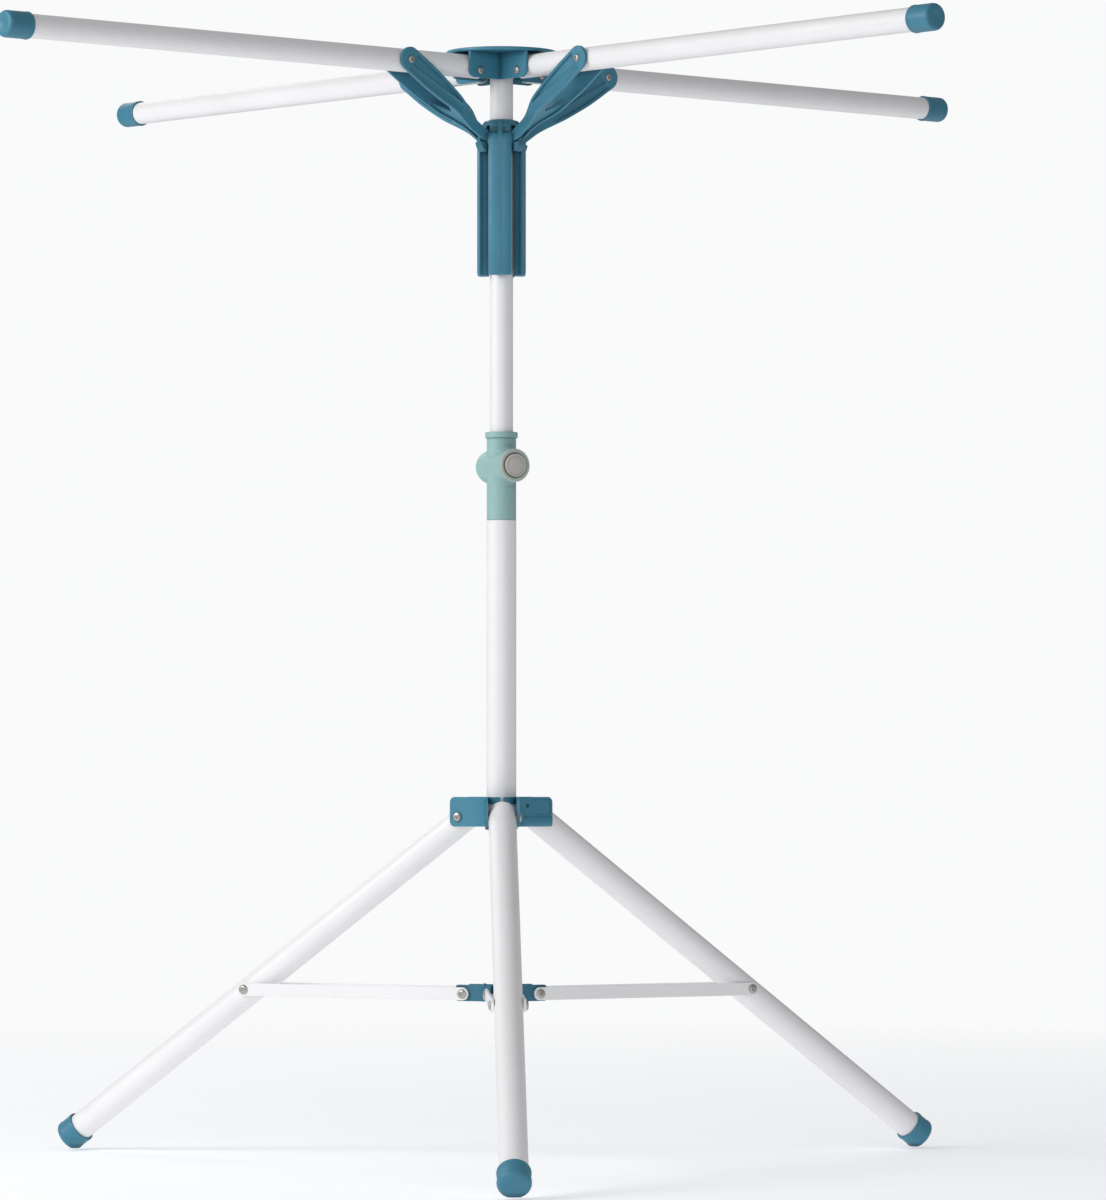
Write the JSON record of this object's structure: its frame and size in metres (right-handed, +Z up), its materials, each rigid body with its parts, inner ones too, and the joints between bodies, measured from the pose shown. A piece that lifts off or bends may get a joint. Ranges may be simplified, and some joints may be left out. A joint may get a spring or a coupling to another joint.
{
  "type": "rotary clothesline",
  "caption": "Free-standing rotary clothes airer with fold-down arms on a turning head, a telescopic push-button mast and a folding tripod stand.",
  "frame": {"origin": "on the ground, under the mast's axis", "axes": "+Z up along the mast, +X along one opened arm and +Y along the next"},
  "size_m": [1.336, 1.336, 1.2],
  "materials": {
    "moulded_teal": "satin teal injection moulding",
    "moulded_teal_dark": "satin deep teal injection moulding",
    "moulded_mint": "matt pale mint moulding",
    "button_grey": "satin warm grey",
    "natural_nylon": "unpigmented nylon",
    "white_coated_steel": "smooth white powder coat",
    "zinc_steel": "bright zinc plate"
  },
  "bodies": {
    "stand": {"tripod_hub": "moulded_teal", "leg_screw_front": "zinc_steel", "leg_screw_right": "zinc_steel", "leg_screw_left": "zinc_steel"},
    "brace_slider": {"brace_hub": "moulded_teal_dark", "brace_hub_rivet_front": "zinc_steel", "brace_hub_rivet_right": "zinc_steel", "brace_hub_rivet_left": "zinc_steel"},
    "lower_mast": {"lower_mast_tube": "white_coated_steel", "lower_tube_stop_plug": "moulded_teal_dark", "collar_housing": "moulded_mint", "collar_guide_ring": "moulded_mint", "lock_bezel": "moulded_mint", "lock_spring": "zinc_steel"},
    "lock": {"lock_button": "button_grey", "lock_plunger": "natural_nylon"},
    "upper_mast": {"upper_mast_tube": "white_coated_steel", "upper_tube_slide_shoe": "natural_nylon", "head_bearing_spindle": "natural_nylon", "sleeve_snap_ring": "zinc_steel"},
    "rotor": {"head": "moulded_teal", "grooved_sleeve": "moulded_teal", "arm_rivet_rear_right": "zinc_steel", "arm_rivet_rear_left": "zinc_steel", "arm_rivet_front_left": "zinc_steel", "arm_rivet_front_right": "zinc_steel"},
    "runner": {"strut_runner": "moulded_teal_dark"},
    "leg_front": {"leg_tube_front": "white_coated_steel", "foot_cap_front": "moulded_teal_dark"},
    "brace_front": {"brace_bar_front_left": "white_coated_steel", "brace_bar_front_right": "white_coated_steel", "brace_end_rivet_front_left": "zinc_steel", "brace_end_rivet_front_right": "zinc_steel"},
    "leg_right": {"leg_tube_right": "white_coated_steel", "foot_cap_right": "moulded_teal_dark"},
    "brace_right": {"brace_bar_right_left": "white_coated_steel", "brace_bar_right_right": "white_coated_steel", "brace_end_rivet_right_left": "zinc_steel", "brace_end_rivet_right_right": "zinc_steel"},
    "leg_left": {"leg_tube_left": "white_coated_steel", "foot_cap_left": "moulded_teal_dark"},
    "brace_left": {"brace_bar_left_left": "white_coated_steel", "brace_bar_left_right": "white_coated_steel", "brace_end_rivet_left_left": "zinc_steel", "brace_end_rivet_left_right": "zinc_steel"},
    "arm_rear_right": {"arm_tube_rear_right": "white_coated_steel", "arm_cap_rear_right": "moulded_teal_dark"},
    "strut_rear_right": {"arm_strut_rear_right": "moulded_teal"},
    "arm_rear_left": {"arm_tube_rear_left": "white_coated_steel", "arm_cap_rear_left": "moulded_teal_dark"},
    "strut_rear_left": {"arm_strut_rear_left": "moulded_teal"},
    "arm_front_left": {"arm_tube_front_left": "white_coated_steel", "arm_cap_front_left": "moulded_teal_dark"},
    "strut_front_left": {"arm_strut_front_left": "moulded_teal"},
    "arm_front_right": {"arm_tube_front_right": "white_coated_steel", "arm_cap_front_right": "moulded_teal_dark"},
    "strut_front_right": {"arm_strut_front_right": "moulded_teal"}
  },
  "joints": [
    {"name": "leg_fold_front", "type": "hinge", "parent": "stand", "child": "leg_front", "pos_m": [-0.02799, -0.03395, 0.3725], "axis": [0.7716, -0.6361, 0], "range_deg": [0, 50.65]},
    {"name": "leg_fold_right", "type": "hinge", "parent": "stand", "child": "leg_right", "pos_m": [0.0434, -0.00726, 0.3725], "axis": [0.165, 0.9863, 0], "range_deg": [0, 50.65]},
    {"name": "leg_fold_left", "type": "hinge", "parent": "stand", "child": "leg_left", "pos_m": [-0.01541, 0.04121, 0.3725], "axis": [-0.9367, -0.3502, 0], "range_deg": [0, 50.65]},
    {"name": "brace_hub_slide", "type": "slide", "parent": "stand", "child": "brace_slider", "axis": [0, 0, -1], "range_m": [0, 0.41137]},
    {"name": "brace_turn_front", "type": "hinge", "parent": "brace_slider", "child": "brace_front", "pos_m": [-0.02449, -0.02971, 0.1815], "axis": [-0.7716, 0.6361, 0], "range_deg": [0, 84.04]},
    {"name": "brace_turn_right", "type": "hinge", "parent": "brace_slider", "child": "brace_right", "pos_m": [0.03797, -0.00635, 0.1815], "axis": [-0.165, -0.9863, 0], "range_deg": [0, 84.04]},
    {"name": "brace_turn_left", "type": "hinge", "parent": "brace_slider", "child": "brace_left", "pos_m": [-0.01348, 0.03606, 0.1815], "axis": [0.9367, 0.3502, 0], "range_deg": [0, 84.04]},
    {"name": "mast_slide", "type": "slide", "parent": "stand", "child": "lower_mast", "axis": [0, 0, -1], "range_m": [0, 0.298]},
    {"name": "lock_press", "type": "slide", "parent": "lower_mast", "child": "lock", "axis": [0.2419, 0.9703, 0], "range_m": [0, 0.004], "stiffness_N_per_m": 700, "springref_m": -0.003, "deforming": ["lock_spring"]},
    {"name": "mast_extension", "type": "slide", "parent": "lower_mast", "child": "upper_mast", "axis": [0, 0, -1], "range_m": [-0.094, 0.15]},
    {"name": "head_spin", "type": "hinge", "parent": "upper_mast", "child": "rotor", "pos_m": [0, 0, 1.176], "axis": [0, 0, 1], "continuous": true},
    {"name": "arm_fold_rear_right", "type": "hinge", "parent": "rotor", "child": "arm_rear_right", "pos_m": [0.0435, 0, 1.176], "axis": [0, 1, 0], "range_deg": [0, 80]},
    {"name": "arm_fold_rear_left", "type": "hinge", "parent": "rotor", "child": "arm_rear_left", "pos_m": [0, 0.0435, 1.176], "axis": [-1, 0, 0], "range_deg": [0, 80]},
    {"name": "arm_fold_front_left", "type": "hinge", "parent": "rotor", "child": "arm_front_left", "pos_m": [-0.0435, 0, 1.176], "axis": [0, -1, 0], "range_deg": [0, 80]},
    {"name": "arm_fold_front_right", "type": "hinge", "parent": "rotor", "child": "arm_front_right", "pos_m": [0, -0.0435, 1.176], "axis": [1, 0, 0], "range_deg": [0, 80]},
    {"name": "runner_slide", "type": "slide", "parent": "rotor", "child": "runner", "axis": [0, 0, -1], "range_m": [0, 0.15697]},
    {"name": "strut_turn_rear_right", "type": "hinge", "parent": "runner", "child": "strut_rear_right", "pos_m": [0.027, 0, 1.108], "axis": [0, -1, 0], "range_deg": [0, 40.91]},
    {"name": "strut_turn_rear_left", "type": "hinge", "parent": "runner", "child": "strut_rear_left", "pos_m": [0, 0.027, 1.108], "axis": [1, 0, 0], "range_deg": [0, 40.91]},
    {"name": "strut_turn_front_left", "type": "hinge", "parent": "runner", "child": "strut_front_left", "pos_m": [-0.027, 0, 1.108], "axis": [0, 1, 0], "range_deg": [0, 40.91]},
    {"name": "strut_turn_front_right", "type": "hinge", "parent": "runner", "child": "strut_front_right", "pos_m": [0, -0.027, 1.108], "axis": [-1, 0, 0], "range_deg": [0, 40.91]}
  ],
  "couplings": [
    {"joint": "leg_fold_right", "follows": "leg_fold_front", "ratio": 1},
    {"joint": "leg_fold_left", "follows": "leg_fold_front", "ratio": 1},
    {"joint": "brace_hub_slide", "follows": "leg_fold_front", "m_per_rad": 0.46535},
    {"joint": "brace_turn_front", "follows": "leg_fold_front", "ratio": 1.6592},
    {"joint": "brace_turn_right", "follows": "leg_fold_front", "ratio": 1.6592},
    {"joint": "brace_turn_left", "follows": "leg_fold_front", "ratio": 1.6592},
    {"joint": "arm_fold_rear_right", "follows": "arm_fold_front_left", "ratio": 1},
    {"joint": "arm_fold_rear_left", "follows": "arm_fold_front_left", "ratio": 1},
    {"joint": "arm_fold_front_right", "follows": "arm_fold_front_left", "ratio": 1},
    {"joint": "runner_slide", "follows": "arm_fold_front_left", "m_per_rad": 0.11242},
    {"joint": "strut_turn_rear_right", "follows": "arm_fold_front_left", "ratio": 0.51134},
    {"joint": "strut_turn_rear_left", "follows": "arm_fold_front_left", "ratio": 0.51134},
    {"joint": "strut_turn_front_left", "follows": "arm_fold_front_left", "ratio": 0.51134},
    {"joint": "strut_turn_front_right", "follows": "arm_fold_front_left", "ratio": 0.51134}
  ]
}
